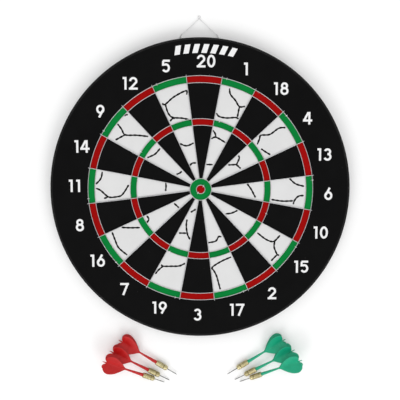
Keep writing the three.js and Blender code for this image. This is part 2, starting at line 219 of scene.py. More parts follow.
def turned(profile, steps, closed=False):
    """A profile of [radius r, height z] points turned about +Z: (r cos a, r sin a, z)."""
    radius, height = np.array(profile, dtype=float).T
    angle = np.linspace(0.0, 2 * np.pi, steps, endpoint=False)[:, None]
    grid = np.stack([radius * np.cos(angle), radius * np.sin(angle),
                     np.broadcast_to(height, (steps, len(height)))], axis=-1)
    return shell(grid, around=closed, along=True)


def piece(name, shells, material, body="board", slot=None, stands_for=(), smooth=40.0, border=None):
    """One object from shells in millimetres with its material, riding on a body; 'slot' is not used.

    Doubled points are merged and faces turned to point out; edges sharper than 'smooth' degrees stay sharp.
    'border' holds one value for each point, kept as a point attribute of that name.
    """
    counts = np.cumsum([0] + [len(points) for points, _ in shells])
    points = np.vstack([points for points, _ in shells]) * MM
    faces = [[i + start for i in face] for start, (_, part) in zip(counts, shells) for face in part]
    mesh = bpy.data.meshes.new(name)
    mesh.from_pydata(points.tolist(), [], faces)
    if border is not None:
        mesh.attributes.new("border", "FLOAT", "POINT").data.foreach_set("value", np.concatenate(border))
    work = bmesh.new()
    work.from_mesh(mesh)
    bmesh.ops.remove_doubles(work, verts=work.verts, dist=1e-7)
    bmesh.ops.recalc_face_normals(work, faces=work.faces)
    work.to_mesh(mesh)
    work.free()
    mesh.shade_smooth()
    mesh.set_sharp_from_angle(angle=math.radians(smooth))
    mesh.materials.append(material)
    made = bpy.data.objects.new(name, mesh)
    bpy.context.scene.collection.objects.link(made)
    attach(made, body)
    if stands_for:
        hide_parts(*stands_for)
    return made


def box_of(name):
    """A node's lowest and highest corner in millimetres."""
    return [np.array(corner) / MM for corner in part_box(name)]


def kraft_paper():
    """Black kraft: a dull sheet with visible fibre, a little browner where the pulp is thin."""
    material, tree, shader = finish("back_paper", (0.012, 0.011, 0.01), 0.9, **{"Specular IOR Level": 0.25})
    height, cloud = fibre_of(tree, 700.0, 25.0)
    coloured(tree, shader, cloud, (0.008, 0.0075, 0.007), (0.02, 0.017, 0.014))
    bumped(tree, shader, height, 0.0001)
    return material


band_low, band_high = box_of("edge_band")
BOARD_RADIUS = (band_high[0] - band_low[0]) / 2
BACK_TOP = box_of("back_sheet")[1][2]
BACK_MARGIN = 0.8
ROUND = 240                                          # steps round the board

back_radius = BOARD_RADIUS - BACK_MARGIN
back_profile = [[0, 0.1], [back_radius, 0.1], [back_radius + 0.1, 0.2],
                [back_radius, BACK_TOP], [0, BACK_TOP]]
piece("back_paper_disc", [turned(back_profile, ROUND)], kraft_paper(), slot="back_paper",
      stands_for=["back_sheet"])


# ---- Edge tape ----
# A strip of black gummed paper tape wrapped round the roll and pressed down over both faces.
# The laps pucker into small folds because the tape's edge is longer than the line it is pressed on to.

FACE_TOP = box_of("red_doubles")[1][2]
TAPE = 0.35
LAP = 3.2
TAPE_CORNER = 1.1


def tape_section():
    """Outline of the tape in (radius, height): the wall, two quarter-circle corners and two laps."""
    quarter = np.linspace(0, np.pi / 2, 6)
    corner_in, corner_up = BOARD_RADIUS - TAPE_CORNER, FACE_TOP - TAPE_CORNER + TAPE / 2
    upper = np.stack([corner_in + TAPE_CORNER * np.cos(quarter),
                      corner_up + TAPE_CORNER * np.sin(quarter)], axis=1)
    outside = np.vstack([[[BOARD_RADIUS - LAP, 0.0]], upper[::-1] * [1, -1] + [0, FACE_TOP + TAPE / 2],
                         upper, [[BOARD_RADIUS - LAP, FACE_TOP + TAPE / 2], [BOARD_RADIUS - LAP, FACE_TOP]]])
    inner = BOARD_RADIUS - TAPE_CORNER
    inside = [[inner, FACE_TOP - 0.2], [inner, 0.25], [BOARD_RADIUS - LAP, 0.12]]
    return np.vstack([outside, inside])


def tape_ring():
    """The tape's section turned about +Z, with its laps lifted into puckers.

    Height of a pucker: 0.12 mm times a sharpened sine of the angle, 150 of them round the board, uneven in
    strength, and fading from the lap's inner edge to the corner.
    """
    section = tape_section()
    angle = np.linspace(0, 2 * np.pi, 1440, endpoint=False)[:, None]
    radius = np.broadcast_to(section[:, 0], (len(angle), len(section))).copy()
    height = np.broadcast_to(section[:, 1], radius.shape).copy()
    wander = 0.6 + 0.4 * np.sin(7 * angle + 1.3) * np.sin(11 * angle)
    fold = np.clip(np.sin(150 * angle + 2.0 * np.sin(9 * angle)), 0, 1) ** 3 * wander
    inward = np.clip((BOARD_RADIUS - TAPE_CORNER - radius) / (LAP - TAPE_CORNER), 0, 1)
    upper = height > FACE_TOP + TAPE / 2 - 0.01
    height = height + 0.12 * fold * inward * upper
    radius = radius + 0.25 * np.sin(23 * angle + 0.7) * np.sin(5 * angle) * (inward > 0.99)
    return shell(np.stack([radius * np.cos(angle), radius * np.sin(angle), height], axis=-1), along=True)


def edge_scuff():
    """Where an edge has rubbed: 'Wear' is 1 on ridges that stand proud, broken up by a noise of its own."""
    group, given, result = effect("edge_scuff", {"Amount": 0.5, "Patches": 60.0}, ["Wear"])
    ridge = ranged(group, node(group, "ShaderNodeNewGeometry").outputs["Pointiness"], 0.52, 0.6)
    place = node(group, "ShaderNodeTexCoord").outputs["Object"]
    patches = node(group, "ShaderNodeTexNoise", {"Vector": place, "Scale": given.outputs["Patches"],
                                                 "Detail": 6.0, "Roughness": 0.7})
    broken = ranged(group, patches.outputs[0], 0.5, 0.7)
    wear_and_shade_mask = maths(group, "MULTIPLY", maths(group, "MULTIPLY", ridge, broken), given.outputs["Amount"])
    group.links.new(wear_and_shade_mask, result.inputs["Wear"])
    return group


EDGE_SCUFF = edge_scuff()


def scuff_of(tree, amount, patches):
    made = node(tree, "ShaderNodeGroup", node_tree=EDGE_SCUFF)
    made.inputs["Amount"].default_value = amount
    made.inputs["Patches"].default_value = patches
    return made.outputs["Wear"]


def gummed_tape():
    """Black gummed tape: a little glossier than the print, creped, and rubbed grey at the corners."""
    material, tree, shader = finish("edge_tape", (0.004, 0.004, 0.0042), 0.6, **{"Specular IOR Level": 0.2})
    height, cloud = fibre_of(tree, 800.0, 40.0)
    black = blended(tree, cloud, (0.0022, 0.0022, 0.0024), (0.0055, 0.0055, 0.0056))
    coloured(tree, shader, scuff_of(tree, 0.35, 90.0), black, (0.05, 0.048, 0.045))
    roughened(tree, shader, cloud, 0.55, 0.7)
    bumped(tree, shader, height, 0.00008)
    return material


piece("edge_tape_wrap", [tape_ring()], gummed_tape(), slot="edge_tape", stands_for=["edge_band"], smooth=70.0)


# ---- Cover sheet and white print ----
# A calendered white paper sheet is glued over the face of the roll, and everything is printed on it.
# The bare white of the twenty odd beds shows between the inks.

PRINT_TURN = 1.9                                     # the print is turned clockwise by this many degrees
WEDGE = 18.0
DOUBLE = (158.5, 168.75)
TREBLE = (95.75, 105.5)
OUTER_BULL = 16.3
INNER_BULL = 6.5
NUMBERS = (20, 1, 18, 4, 13, 6, 10, 15, 2, 17, 3, 19, 7, 16, 8, 11, 14, 9, 12, 5)
PRINT_DEPTH = 0.4
WIRE_SHADE_WIDTH = 0.45                                         # the width of the painted shade along each bed's edges, beside the wires


def spot(radius, clock):
    """Plan points of the print at a radius and a clock angle in degrees, clockwise from the 20's middle."""
    turn = np.radians(np.asarray(clock) + PRINT_TURN)
    return np.stack([radius * np.sin(turn), radius * np.cos(turn)], axis=-1)


def bed(inner, outer, start, stop):
    """A printed bed between two radii and two clock angles, as a closed shell and its border values.

    The section is a thin rectangle in (radius, height), with two more points on top just inside its edges.
    It is carried along the arc, with two more stations just inside the ends: the border is 1 on the
    outermost lines and 0 inside them, and marks where shade of the wires is painted.
    """
    low, high = FACE_TOP - PRINT_DEPTH, FACE_TOP
    edge = np.degrees(WIRE_SHADE_WIDTH / max(outer, 1.0))
    steps = max(2, int((stop - start) / 1.5))
    clock = np.concatenate([[start], np.linspace(start + edge, stop - edge, steps + 1), [stop]])
    section = np.array([[inner, low], [outer, low], [outer, high], [outer - WIRE_SHADE_WIDTH, high],
                        [min(inner + WIRE_SHADE_WIDTH, outer - WIRE_SHADE_WIDTH), high], [inner, high]])
    plan = spot(section[:, 0], clock[:, None])
    grid = np.concatenate([plan, np.broadcast_to(section[:, 1], plan.shape[:2])[..., None]], axis=-1)
    border = np.ones(grid.shape[:2])
    border[1:-1, 3:5] = 0.0
    return shell(grid), border.ravel()


def beds(inner, outer, first):
    """The ten beds of one ring that start at the wedge 'first' and take every second one."""
    return [bed(inner, outer, (i - 0.5) * WEDGE, (i + 0.5) * WEDGE) for i in range(first, len(NUMBERS), 2)]


def pigment_edge():
    """Painted shade beside the wires: 'Edge' is the border value, made ragged by a fine noise."""
    group, given, result = effect("pigment_edge", {"Ragged": 0.4}, ["Edge"])
    border = node(group, "ShaderNodeAttribute", attribute_name="border").outputs["Fac"]
    place = node(group, "ShaderNodeTexCoord").outputs["Object"]
    ragged = node(group, "ShaderNodeTexNoise", {"Vector": place, "Scale": 900.0, "Detail": 2.0}).outputs[0]
    loss = maths(group, "MULTIPLY", ragged, given.outputs["Ragged"])
    wear_and_shade_mask = maths(group, "MAXIMUM", maths(group, "SUBTRACT", border, loss), 0.0)
    group.links.new(wear_and_shade_mask, result.inputs["Edge"])
    return group


PAINTED_WIRE_SHADE = pigment_edge()


def printed(name, thin, full, edge, roughness, specular, edge_share=0.8):
    """Ink on coated paper: its colour wanders from thin to full with the clouds, with painted wire shade at
    its edge.
    """
    material, tree, shader = finish(name, full, roughness, **{"Specular IOR Level": specular})
    height, cloud = fibre_of(tree, 1100.0, 28.0)
    body = blended(tree, ranged(tree, cloud, 0.35, 0.65), thin, full)
    rim = node(tree, "ShaderNodeGroup", node_tree=PAINTED_WIRE_SHADE).outputs["Edge"]
    # painted shade: along the bed's edges, beside the wires, the colour goes towards the 'edge' colour
    coloured(tree, shader, maths(tree, "MULTIPLY", rim, edge_share), body, edge)
    roughened(tree, shader, cloud, roughness - 0.06, roughness + 0.06)
    bumped(tree, shader, height, 0.00004)
    return material


def white_paper():
    """Calendered white paper with faint grey clouds, and a little painted grey shade at its edges beside the
    wires.
    """
    return printed("white_paper", (0.66, 0.66, 0.66), (0.69, 0.69, 0.69), (0.48, 0.48, 0.48), 0.6, 0.3,
                   edge_share=0.25)


WHITE_PAPER = white_paper()
dress("cover_sheet", WHITE_PAPER)


def printed_piece(name, parts, material, **facts):
    """A piece from (shell, border) pairs."""
    return piece(name, [part for part, _ in parts], material, border=[border for _, border in parts],
                 smooth=30.0, **facts)


white_beds = beds(TREBLE[1], DOUBLE[0], 1) + beds(OUTER_BULL, TREBLE[0], 1)
printed_piece("white_beds", white_beds, WHITE_PAPER, slot="white_paper")


# ---- Black print ----
# One pass of dense matt black covers the number ring and every second bed.
# The rim of the number ring runs out under the edge tape.

def rim_field():
    """The number ring, from the outer doubles out under the tape's lap: a flat section turned about +Z."""
    radius = np.linspace(DOUBLE[1], BOARD_RADIUS - BACK_MARGIN - TAPE, 13)
    section = np.column_stack([np.concatenate([radius, radius[::-1]]),
                               np.repeat([FACE_TOP, FACE_TOP - PRINT_DEPTH], len(radius))])
    return turned(section, 360, closed=True), np.zeros(360 * len(section))


def matt_black():
    """Dense matt black ink: almost no gloss, faint lighter clouds and rare pinholes where paper dust lay."""
    material, tree, shader = finish("black_ink", (0.0028, 0.0028, 0.003), 0.62,
                                    **{"Specular IOR Level": 0.05})
    height, cloud = fibre_of(tree, 1000.0, 30.0)
    body = blended(tree, ranged(tree, cloud, 0.35, 0.65), (0.0022, 0.0022, 0.0023), (0.0036, 0.0036, 0.0037))
    place = node(tree, "ShaderNodeTexCoord").outputs["Object"]
    specks = node(tree, "ShaderNodeTexVoronoi", {"Vector": place, "Scale": 55.0}).outputs["Distance"]
    dust = ranged(tree, specks, 0.012, 0.022, 0.6, 0.0)
    coloured(tree, shader, dust, body, (0.12, 0.12, 0.12))
    roughened(tree, shader, cloud, 0.56, 0.7)
    bumped(tree, shader, height, 0.00005)
    return material


BLACK_INK = matt_black()
black_beds = beds(TREBLE[1], DOUBLE[0], 0) + beds(OUTER_BULL, TREBLE[0], 0)
printed_piece("black_field", [rim_field()] + black_beds, BLACK_INK, slot="black_ink",
              stands_for=["black_print"])


# ---- Red and green rings, and the bull ----
# The doubles and trebles are screen printed in two more passes, red beside the black beds and green beside
# the white ones. The bull is a green ring with a red centre.

# Each ink's third colour is the painted shade along its beds' edges beside the wires.
RED_INK = printed("red_ink", (0.32, 0.0016, 0.0011), (0.285, 0.0013, 0.0009),
                  (0.17, 0.0009, 0.0006), 0.5, 0.04)
GREEN_INK = printed("green_ink", (0.0013, 0.2, 0.036), (0.001, 0.18, 0.032), (0.0006, 0.11, 0.02), 0.5, 0.04)

for name, ring, first, ink, slot in (
        ("red_doubles", DOUBLE, 0, RED_INK, "red_ink"), ("green_doubles", DOUBLE, 1, GREEN_INK, "green_ink"),
        ("red_trebles", TREBLE, 0, RED_INK, "red_ink"), ("green_trebles", TREBLE, 1, GREEN_INK, "green_ink")):
    printed_piece(f"{name}_beds", beds(*ring, first), ink, slot=slot, stands_for=[name])


def bull(inner, outer):
    """A printed ring about the board's centre, or a disc where inner is 0."""
    section = [[inner, FACE_TOP], [inner + min(WIRE_SHADE_WIDTH, outer - inner), FACE_TOP], [outer - WIRE_SHADE_WIDTH, FACE_TOP],
               [outer, FACE_TOP], [outer, FACE_TOP - PRINT_DEPTH], [inner, FACE_TOP - PRINT_DEPTH]]
    border = np.tile([float(inner > 0), 0.0, 0.0, 1.0, 1.0, float(inner > 0)], 96)
    return turned(section, 96, closed=inner > 0), border


printed_piece("outer_bull_ring", [bull(INNER_BULL, OUTER_BULL)], GREEN_INK, slot="green_ink",
              stands_for=["outer_bull"])
printed_piece("inner_bull_disc", [bull(0.0, INNER_BULL)], RED_INK, slot="red_ink", stands_for=["inner_bull"])


# ---- Numbers and ornament ----
# White ink over the black: the twenty numbers, upright all the way round, in a round bold face, and a row of
# slanted lozenges above the 20.

INK_FILM = 0.05
NUMBER_RADIUS = 191.0
NUMBER_CENTRE = np.array([1.8, -0.8])                 # the numbers' circle is a little off the board's centre
FIGURE_WIDTH = 12.2
FIGURE_HEIGHT = 18.6
STROKE = 3.15
ADVANCE = 15.0
NARROW_ADVANCE = 11.0


def ribbon(path, width):
    """Plan quads (n - 1, 4, 2) of a line along path points (n, 2): its sides lie half the width off it."""
    tangent = np.gradient(path, axis=0)
    tangent /= np.linalg.norm(tangent, axis=1, keepdims=True)
    side = np.stack([-tangent[:, 1], tangent[:, 0]], axis=1) * np.reshape(width, (-1, 1)) / 2
    left, right = path + side, path - side
    return np.stack([right[:-1], right[1:], left[1:], left[:-1]], axis=1)


def bar(x0, y0, x1, y1, width=STROKE):
    """A straight stroke with square ends."""
    return ribbon(np.array([[x0, y0], [x1, y1]], dtype=float), width)


def bow(x, y, rx, ry, start, stop, width=STROKE):
    """A curved stroke: an ellipse's arc from one angle to another, in degrees anticlockwise from +X."""
    turn = np.radians(np.linspace(start, stop, max(4, int(abs(stop - start) / 7.5))))
    return ribbon(np.stack([x + rx * np.cos(turn), y + ry * np.sin(turn)], axis=1), width)


def figure(digit):
    """The strokes of a digit about its own centre, as plan quads."""
    w, h = (FIGURE_WIDTH - STROKE) / 2, (FIGURE_HEIGHT - STROKE) / 2
    top, foot = FIGURE_HEIGHT / 2, -FIGURE_HEIGHT / 2
    bowl = (FIGURE_HEIGHT / 2 + STROKE / 4) / 2
    strokes = {
        0: lambda: [bow(0, 0, w, h, 0, 360)],
        1: lambda: [bar(1.5, foot, 1.5, top), bar(-2.6, h, 1.5, h)],
        2: lambda: [bow(0, h - w, w, w, -35, 180), bar(w * 0.8, h - w * 1.5, -w, -h),
                    bar(-w - 2, -h, w + 2, -h)],
        3: lambda: [bow(-0.4, h - 3.7, w - 0.6, 3.7, -90, 160), bow(-0.4, -h + 4.3, w, 4.3, -160, 90)],
        4: lambda: [bar(1, h + 1, -w - 1, -3.4), bar(-w - 2.6, -3.4, w + 2.2, -3.4),
                    bar(2.4, foot, 2.4, top)],
        5: lambda: [bar(-w, h, w + 1, h), bar(-w + 0.4, h, -w, 0.4),
                    bow(-0.3, -h + bowl, w, bowl, -150, 125)],
        6: lambda: [bow(0, -h + bowl, w, bowl, 0, 360), bar(-w * 0.86, -1.6, 1.9, top)],
        7: lambda: [bar(-w - 2, h, w + 2, h), bar(w, h, -2.2, foot)],
        8: lambda: [bow(0, h - 3.6, w - 0.8, 3.6, 0, 360), bow(0, -h + 4.3, w, 4.3, 0, 360)],
        9: lambda: [-quads for quads in strokes[6]()],
    }
    return np.concatenate(strokes[digit]())


def number_quads(number, clock):
    """A number's strokes, upright and centred on its place round the board."""
    digits = [int(character) for character in str(number)]
    advances = np.array([NARROW_ADVANCE if digit == 1 else ADVANCE for digit in digits])
    middles = np.cumsum(advances) - advances / 2 - advances.sum() / 2
    return np.concatenate([figure(digit) + [middle, 0.0] for digit, middle in zip(digits, middles)]) + \
        spot(NUMBER_RADIUS, clock) + NUMBER_CENTRE


def inlay(quads, low, high):
    """A flat closed solid over the union of overlapping plan quads (n, 4, 2).

    The quads are triangulated together and the triangles that belong to any of them are kept: once at 'high',
    once at 'low', with a wall under every edge that only one triangle has.
    """
    after = np.roll(quads, -1, axis=1)
    area = (quads[..., 0] * after[..., 1] - quads[..., 1] * after[..., 0]).sum(axis=1)
    quads = np.where(area[:, None, None] < 0, quads[:, ::-1], quads)
    outlines = np.arange(quads.shape[0] * 4).reshape(-1, 4).tolist()
    found = delaunay_2d_cdt([Vector(point) for point in quads.reshape(-1, 2)], [], outlines, 0, 1e-4)
    plan = np.array([tuple(point) for point in found[0]])
    triangles = np.array([tri for tri, owners in zip(found[2], found[5]) if owners])
    count = len(plan)
    edges = np.vstack([triangles[:, [0, 1]], triangles[:, [1, 2]], triangles[:, [2, 0]]])
    open_edges = edges[~np.isin(edges @ [count, 1], edges @ [1, count])]
    walls = np.column_stack([open_edges, open_edges[:, ::-1] + count])
    points = np.vstack([np.column_stack([plan, np.full(count, z)]) for z in (high, low)])
    return points, triangles.tolist() + (triangles[:, ::-1] + count).tolist() + walls.tolist()


def white_ink():
    """Opaque white ink: flat, a little thin over the black so that fine grey clouds show."""
    material, tree, shader = finish("white_ink", (0.82, 0.82, 0.82), 0.5, **{"Specular IOR Level": 0.3})
    height, cloud = fibre_of(tree, 1100.0, 60.0)
    coloured(tree, shader, cloud, (0.74, 0.74, 0.745), (0.86, 0.86, 0.86))
    bumped(tree, shader, height, 0.00004)
    return material


WHITE_INK = white_ink()
piece("number_figures", [inlay(number_quads(number, i * WEDGE), FACE_TOP - 0.1, FACE_TOP + INK_FILM)
                         for i, number in enumerate(NUMBERS)], WHITE_INK, slot="white_paper")

ORNAMENT = {"radius": 208.5, "span": 22.5, "count": 7, "height": 13.0, "width": 8.0, "slant": 4.0}


def lozenge(clock):
    """A slanted four-sided mark standing on the ornament's arc, as one plan quad."""
    up = spot(ORNAMENT["radius"] + 1, clock) - spot(ORNAMENT["radius"], clock)
    right = np.array([up[1], -up[0]])
    width, height, slant = ORNAMENT["width"], ORNAMENT["height"], ORNAMENT["slant"]
    corners = np.array([[-width - slant, -height], [width - slant, -height], [width + slant, height],
                        [slant - width, height]]) / 2
    return spot(ORNAMENT["radius"], clock) + corners[:, :1] * right + corners[:, 1:] * up


half_span = ORNAMENT["span"] / 2
piece("ornament_lozenges", [inlay(lozenge(clock)[None], FACE_TOP - 0.1, FACE_TOP + INK_FILM)
                            for clock in np.linspace(-half_span, half_span, ORNAMENT["count"])],
      WHITE_INK, slot="white_paper")


# ---- Crack lines ----
# Fine black lines like cracks in marble are printed across the white beds, each bed with its own.
# They wander with rounded ends, and some meet in a fork.

CRACK_WIDTH = 2.5
# The most by which a bed's lines sit above their places in the table, at the board's two sides.
CRACK_LIFT = 2.6
# Each line's points are (radius in millimetres, share of the bed's width from its anticlockwise side).
CRACKS = {
    5: [[(140, 0.05), (137, 0.14), (143, 0.5), (148, 0.92), (142, 0.93)],
        [(137, 0.14), (125, 0.11), (117, 0.16), (113, 0.31), (109, 0.62), (104, 0.95)],
        [(111, 0.05), (113, 0.16), (113, 0.31)],
        [(75, 0.04), (70, 0.25), (68, 0.5), (70, 0.92)],
        [(39, 0.05), (41, 0.4), (40, 0.85)]],
    1: [[(156, 0.28), (148, 0.36), (142, 0.58), (136, 0.79), (140, 0.96)],
        [(136, 0.79), (128, 0.84), (121, 0.89)],
        [(116, 0.04), (112, 0.18), (113, 0.5), (119, 0.84), (119, 0.97)],
        [(90, 0.05), (86, 0.2), (81, 0.31)], [(77, 0.05), (81, 0.31), (79, 0.95)],
        [(38, 0.1), (41, 0.85)]],
    4: [[(156, 0.42), (147, 0.31), (131, 0.29), (120, 0.1), (115, 0.17), (107, 0.3)],
        [(108, 0.55), (112, 0.8), (116, 0.97)],
        [(75, 0.12), (73, 0.3), (64, 0.55)], [(54, 0.16), (60, 0.4), (64, 0.55), (67, 0.95)]],
    6: [[(134, 0.06), (143, 0.27), (156, 0.36)], [(108, 0.93), (125, 0.92), (141, 0.85)],
        [(156, 0.64), (148, 0.68), (143, 0.83), (142, 0.97)],
        [(70, 0.12), (76, 0.5), (80, 0.76), (84, 0.97)]],
    15: [[(109, 0.52), (124, 0.52), (134, 0.46), (138, 0.36), (140, 0.1)],
         [(138, 0.36), (143, 0.55), (154, 0.67), (157, 0.64)], [(154, 0.67), (154, 0.95)],
         [(54, 0.95), (60, 0.55), (65, 0.12)]],
    17: [[(113, 0.05), (114, 0.49), (120, 0.92), (126, 0.88), (134, 0.82), (143, 0.8), (156, 0.78)],
         [(82, 0.95), (82, 0.5), (77, 0.25), (79, 0.08)]],
    19: [[(115, 0.05), (121, 0.26), (125, 0.54), (130, 0.84), (129, 0.93)],
         [(130, 0.84), (138, 0.92), (146, 0.96)],
         [(50, 0.75), (60, 0.57), (71, 0.3), (78, 0.06)], [(74, 0.86), (70, 0.4)],
         [(38, 0.69), (31, 0.14)]],
    16: [[(133, 0.93), (122, 0.77), (109, 0.56)],
         [(149, 0.93), (151, 0.65), (153, 0.44), (152, 0.25), (150, 0.04)],
         [(91, 0.9), (91, 0.68), (97, 0.57)], [(46, 0.76), (44, 0.06)]],
    11: [[(149, 0.91), (150, 0.69), (157, 0.5)],
         [(157, 0.38), (150, 0.31), (139, 0.08), (128, 0.05), (120, 0.08), (114, 0.24), (108, 0.52)],
         [(139, 0.08), (146, 0.04)], [(53, 0.84), (52, 0.5), (53, 0.08)]],
    9: [[(158, 0.81), (154, 0.92)], [(157, 0.5), (147, 0.44), (138, 0.36), (124, 0.6), (110, 0.88)],
        [(138, 0.36), (146, 0.04)],
        [(92, 0.05), (88, 0.25), (85, 0.48), (85, 0.88)], [(42, 0.06), (39, 0.35), (38, 0.75)]],
}


def smooth_line(points, steps=6):
    """A Catmull-Rom curve through the points: on each span the cubic through its ends with centred slopes."""
    points = np.asarray(points, dtype=float)
    padded = np.vstack([2 * points[0] - points[1], points, 2 * points[-1] - points[-2]])
    before, start, stop, after = padded[:-3, None], padded[1:-2, None], padded[2:-1, None], padded[3:, None]
    t = np.linspace(0, 1, steps, endpoint=False)[None, :, None]
    curve = 0.5 * (2 * start + (stop - before) * t + (2 * before - 5 * start + 4 * stop - after) * t ** 2
                   + (3 * start - before - 3 * stop + after) * t ** 3)
    return np.vstack([curve.reshape(-1, points.shape[1]), points[-1:]])


def crack_quads(bed_number, line):
    """A crack as a smooth ribbon: its width wanders by a fifth and closes in half circles at the ends.

    Its points are moved toward +Y by CRACK_LIFT times the squared sine of the bed's clock angle, and kept
    inside the doubles.
    """
    clock = (NUMBERS.index(bed_number) - 0.5) * WEDGE
    corners = np.array([spot(radius, clock + share * WEDGE) for radius, share in line])
    corners[:, 1] += CRACK_LIFT * math.sin(math.radians(clock + WEDGE / 2)) ** 2
    path = smooth_line(corners)
    reach = np.linalg.norm(path, axis=1, keepdims=True)
    path *= np.minimum(reach, DOUBLE[0] - 1) / reach
    run = np.concatenate([[0.0], np.cumsum(np.linalg.norm(np.diff(path, axis=0), axis=1))])
    half = CRACK_WIDTH / 2
    cap = half * (1 - np.cos(np.radians([10, 30, 55, 80])))
    stations = np.concatenate([cap, np.arange(half + 0.4, run[-1] - half - 0.4, 0.8), run[-1] - cap[::-1]])
    path = np.column_stack([np.interp(stations, run, path[:, k]) for k in (0, 1)])
    inside = np.minimum(np.minimum(stations, run[-1] - stations), half)
    closing = 2 * np.sqrt(np.maximum(half ** 2 - (half - inside) ** 2, 0))
    return ribbon(path, closing * (1 + 0.18 * np.sin(stations * 0.9 + clock)))


piece("crack_lines", [inlay(np.concatenate([crack_quads(number, line) for line in lines]),
                            FACE_TOP - 0.1, FACE_TOP + INK_FILM) for number, lines in CRACKS.items()],
      BLACK_INK, slot="black_ink")


# ---- Ring wires ----
# Five rings of hard-drawn galvanised wire, butt welded, bound the doubles, the trebles and the inner bull.
# They lie on the print and are not quite round.

WIRE = box_of("double_outer_wire")[1][2] - box_of("double_outer_wire")[0][2]
random = np.random.default_rng(20)


def tube(path, radius, across, sides=10, closed=False):
    """Wire along path points (n, 3): each station carries a circle in the plane across the path.

    The circle's axes are n = across x tangent and b = tangent x n, so 'across' may not lie along the path;
    radius may be one value or one for each station.
    """
    if closed:
        tangent = np.roll(path, -1, axis=0) - np.roll(path, 1, axis=0)
    else:
        tangent = np.gradient(path, axis=0)
    tangent = tangent / np.linalg.norm(tangent, axis=1, keepdims=True)
    first = np.cross(np.broadcast_to(across, path.shape), tangent)
    first = first / np.linalg.norm(first, axis=1, keepdims=True)
    second = np.cross(tangent, first)
    angle = np.linspace(0, 2 * np.pi, sides, endpoint=False)[None, :, None]
    circle = np.cos(angle) * first[:, None] + np.sin(angle) * second[:, None]
    reach = np.reshape(radius, (-1, 1, 1)) if np.ndim(radius) else radius
    return shell(path[:, None] + reach * circle, along=closed)


def ring_wire(radius, stations=300):
    """A ring of wire on the face: its radius wanders by a tenth of a millimetre in two slow waves."""
    clock = np.linspace(0, 360, stations, endpoint=False)
    waves = sum(0.08 * np.sin(np.radians(clock) * lobes + random.uniform(0, 6.3)) for lobes in (3, 7))
    plan = spot(radius + waves * min(1.0, radius / 100), clock)
    path = np.column_stack([plan, np.full(stations, FACE_TOP + WIRE / 2)])
    return tube(path, WIRE / 2, (0.0, 0.0, 1.0), closed=True)


def drawn_wire(name, dark, light, roughness):
    """Drawn steel wire under a zinc film: bright metal with a cloudy bloom and fine draw marks."""
    material, tree, shader = finish(name, light, roughness, Metallic=1.0)
    place = node(tree, "ShaderNodeTexCoord").outputs["Object"]
    bloom = node(tree, "ShaderNodeTexNoise", {"Vector": place, "Scale": 900.0, "Detail": 4.0}).outputs[0]
    coloured(tree, shader, ranged(tree, bloom, 0.35, 0.65), dark, light)
    roughened(tree, shader, bloom, roughness - 0.08, roughness + 0.1)
    bumped(tree, shader, bloom, 0.00002)
    return material


SPIDER_WIRE = drawn_wire("spider_wire", (0.46, 0.46, 0.47), (0.68, 0.68, 0.69), 0.34)
for name, radius in (("double_outer_wire", DOUBLE[1]), ("double_inner_wire", DOUBLE[0]),
                     ("treble_outer_wire", TREBLE[1]), ("treble_inner_wire", TREBLE[0]),
                     ("bull_wire", INNER_BULL)):
    piece(f"{name}_ring", [ring_wire(radius)], SPIDER_WIRE, slot="spider_wire", stands_for=[name],
          smooth=80.0)


# ---- Radial wires and hub ----
# Twenty straight wires are spot welded across the rings, from the hub ring round the bull to just past the
# outer doubles ring. Each weld sinks the wires into each other and leaves a small bright swelling.

RADIAL_OVERHANG = 2.5
WELD_SINK = 0.3


def radial_wire(clock):
    """A rod from the hub out: straight, with a slow bow of a third of a millimetre and ends rounded off."""
    share = np.concatenate([[0.0, 0.0008, 0.0025], np.linspace(0.01, 0.99, 25), [0.9975, 0.9992, 1.0]])
    radius = OUTER_BULL + share * (DOUBLE[1] + RADIAL_OVERHANG - OUTER_BULL)
    drift = random.normal(0.0, 0.10)
    stray = np.degrees(random.normal(0.0, 0.22) * np.sin(np.pi * share) / radius)
    plan = spot(radius, clock + drift + stray)
    height = FACE_TOP + WIRE * 1.5 - WELD_SINK
    thickness = WIRE / 2 * np.concatenate([[0.3, 0.75, 0.95], np.ones(25), [0.95, 0.75, 0.3]])
    path = np.column_stack([plan, np.full(len(share), height)])
    return tube(path, thickness, (0.0, 0.0, 1.0), sides=8), plan


def weld(plan, radius):
    """A small flattened ball of melted metal where two wires cross: an ellipsoid of latitudes and turns."""
    latitude = np.linspace(-np.pi / 2, np.pi / 2, 6)[None, :]
    turn = np.linspace(0, 2 * np.pi, 9)[:-1, None]
    height = FACE_TOP + WIRE - WELD_SINK / 2
    grid = np.stack([plan[0] + radius * np.cos(latitude) * np.cos(turn),
                     plan[1] + radius * np.cos(latitude) * np.sin(turn),
                     height + 0.75 * radius * np.sin(latitude) * np.ones_like(turn)], axis=-1)
    return shell(grid, around=False, along=True)


def radial_web():
    """The hub ring, the twenty rods and the welds at their crossings."""
    clock = np.linspace(0, 360, 120, endpoint=False)
    hub = tube(np.column_stack([spot(OUTER_BULL, clock), np.full(120, FACE_TOP + WIRE / 2 + 0.2)]), WIRE / 2,
               (0.0, 0.0, 1.0), closed=True)
    shells = [hub]
    for i in range(len(NUMBERS)):
        rod, plan = radial_wire((i + 0.5) * WEDGE)
        distance = np.linalg.norm(plan, axis=1)
        shells.append(rod)
        for ring in (OUTER_BULL, *TREBLE, *DOUBLE):
            crossing = np.array([np.interp(ring, distance, plan[:, k]) for k in (0, 1)])
            shells.append(weld(crossing, WIRE * 0.72))
    return shells


piece("radial_wires_and_hub", radial_web(), SPIDER_WIRE, slot="spider_wire",
      stands_for=["radial_web"], smooth=60.0)


# ---- Spider staples ----
# Sixteen staples of thin bright wire pin the spider down: ten over the outer doubles ring, four over the
# outer trebles ring and two over the bull ring. Each is a round-cornered U driven through the print.

